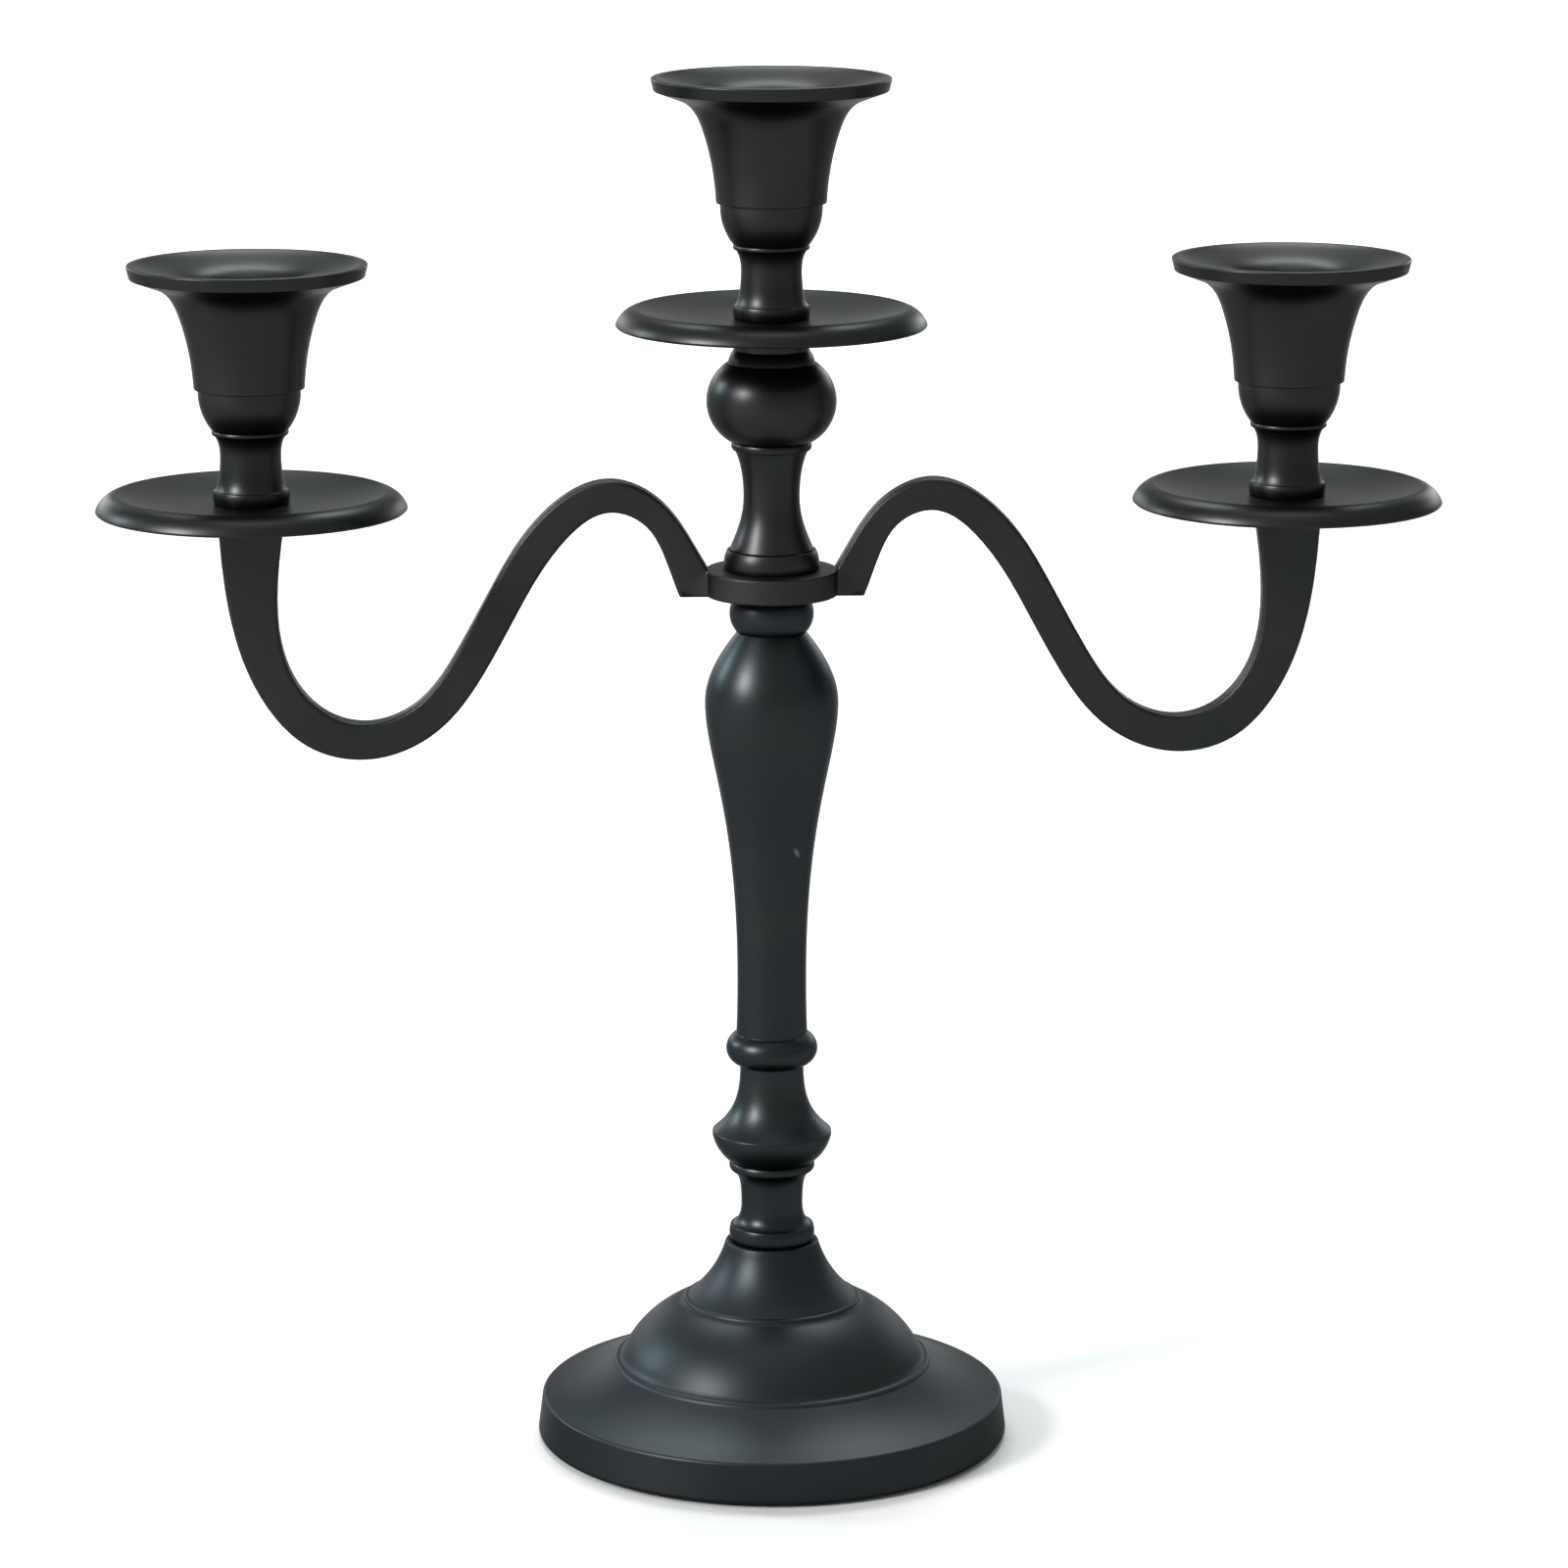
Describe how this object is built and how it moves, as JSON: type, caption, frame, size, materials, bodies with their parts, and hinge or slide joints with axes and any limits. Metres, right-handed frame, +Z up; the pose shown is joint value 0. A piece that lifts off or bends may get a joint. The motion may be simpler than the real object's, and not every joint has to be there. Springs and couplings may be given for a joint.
{
  "type": "tabletop candelabra",
  "caption": "Black metal candelabra: a turned column on a stepped round foot carries curved side arms, with flared candle cups screwed down over drip pans.",
  "frame": {"origin": "on the table, on the column's axis", "axes": "+X along the arm at the picture's right, +Y away from the picture's viewer, +Z up"},
  "size_m": [0.26, 0.0932, 0.27],
  "materials": {
    "black_paint": "satin black coat with a fine grain over cast and turned metal",
    "hardware_steel": "zinc-plated steel rod, studs, nut and washer",
    "pad_rubber": "matt black foam rubber"
  },
  "bodies": {
    "column": {"base_pad": "pad_rubber", "base_foot": "black_paint", "foot_washer": "hardware_steel", "foot_nut": "hardware_steel", "tie_rod": "hardware_steel", "lower_spool": "black_paint", "knop": "black_paint", "shaft": "black_paint", "bead": "black_paint"},
    "arms": {"arm_yoke": "black_paint", "left_stud": "hardware_steel", "right_stud": "hardware_steel"},
    "clamp_ring": {"clamp_ring": "black_paint"},
    "upper_stem": {"upper_spool": "black_paint", "ball": "black_paint", "centre_stud": "hardware_steel"},
    "left_pan": {"left_drip_pan": "black_paint"},
    "left_cup": {"left_neck": "black_paint", "left_candle_cup": "black_paint"},
    "centre_pan": {"centre_drip_pan": "black_paint"},
    "centre_cup": {"centre_neck": "black_paint", "centre_candle_cup": "black_paint"},
    "right_pan": {"right_drip_pan": "black_paint"},
    "right_cup": {"right_neck": "black_paint", "right_candle_cup": "black_paint"}
  },
  "joints": [
    {"name": "arm_swivel", "type": "hinge", "parent": "column", "child": "arms", "pos_m": [0, 0, 0.1726], "axis": [0, 0, 1], "continuous": true},
    {"name": "upper_stem_turn", "type": "hinge", "parent": "column", "child": "clamp_ring", "pos_m": [0, 0, 0.1751], "axis": [0, 0, 1], "range_deg": [0, 3600]},
    {"name": "upper_stem_lift", "type": "slide", "parent": "clamp_ring", "child": "upper_stem", "axis": [0, 0, 1], "range_m": [0, 0.01]},
    {"name": "left_cup_turn", "type": "hinge", "parent": "arms", "child": "left_pan", "pos_m": [-0.1, 0, 0.1873], "axis": [0, 0, 1], "range_deg": [0, 5760]},
    {"name": "left_cup_lift", "type": "slide", "parent": "left_pan", "child": "left_cup", "axis": [0, 0, 1], "range_m": [0, 0.008]},
    {"name": "centre_cup_turn", "type": "hinge", "parent": "upper_stem", "child": "centre_pan", "pos_m": [0, 0, 0.2223], "axis": [0, 0, 1], "range_deg": [0, 5760]},
    {"name": "centre_cup_lift", "type": "slide", "parent": "centre_pan", "child": "centre_cup", "axis": [0, 0, 1], "range_m": [0, 0.008]},
    {"name": "right_cup_turn", "type": "hinge", "parent": "arms", "child": "right_pan", "pos_m": [0.1, 0, 0.1873], "axis": [0, 0, 1], "range_deg": [0, 5760]},
    {"name": "right_cup_lift", "type": "slide", "parent": "right_pan", "child": "right_cup", "axis": [0, 0, 1], "range_m": [0, 0.008]}
  ],
  "couplings": [
    {"joint": "upper_stem_turn", "follows": "upper_stem_lift", "rad_per_m": 6283.2},
    {"joint": "left_cup_turn", "follows": "left_cup_lift", "rad_per_m": 12566},
    {"joint": "centre_cup_turn", "follows": "centre_cup_lift", "rad_per_m": 12566},
    {"joint": "right_cup_turn", "follows": "right_cup_lift", "rad_per_m": 12566}
  ]
}
